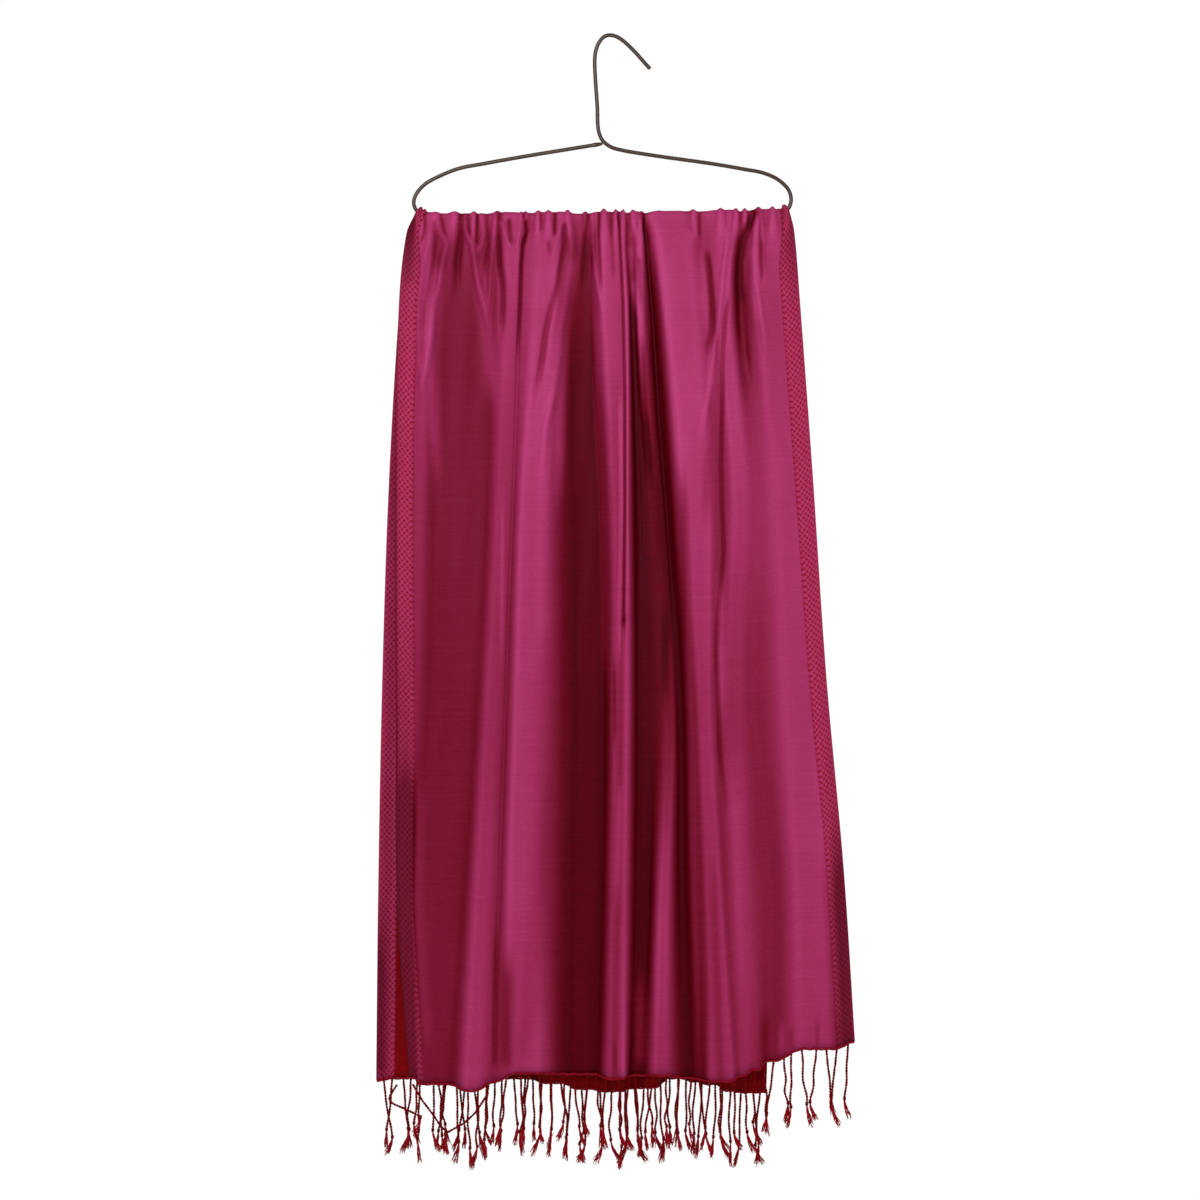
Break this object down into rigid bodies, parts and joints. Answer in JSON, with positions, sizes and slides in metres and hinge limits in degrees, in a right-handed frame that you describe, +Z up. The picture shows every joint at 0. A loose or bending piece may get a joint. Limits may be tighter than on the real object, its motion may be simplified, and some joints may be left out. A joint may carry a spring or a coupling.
{
  "type": "silk scarf on wire hanger",
  "caption": "Fringed magenta silk satin scarf with woven lattice borders and a red reverse, folded over the bar of a bronze wire hanger and gathered along it.",
  "frame": {"origin": "underside of the hanger hook's crown, where a rail or peg carries it", "axes": "+Z up; the front of the scarf faces -Y; +X to the right seen from the front, along the hanger's bar"},
  "size_m": [0.517, 0.0487, 1.2291],
  "materials": {
    "bronze_wire": "satin brown-bronze plating with soft highlights",
    "silk_satin": "silk satin, bright magenta face and deep red reverse",
    "lattice_border": "woven diagonal lattice, magenta over red",
    "red_hem": "rolled and whipped silk hem",
    "red_fringe": "twisted silk cords, knotted, with frayed ends"
  },
  "bodies": {
    "root": {"hanger_wire": "bronze_wire", "hanger_weld": "bronze_wire", "front_fall": "silk_satin", "bar_fold": "silk_satin", "back_fall": "silk_satin", "left_border": "lattice_border", "right_border": "lattice_border", "front_hem": "red_hem", "back_hem": "red_hem", "front_fringe": "red_fringe", "back_fringe": "red_fringe"}
  },
  "joints": []
}
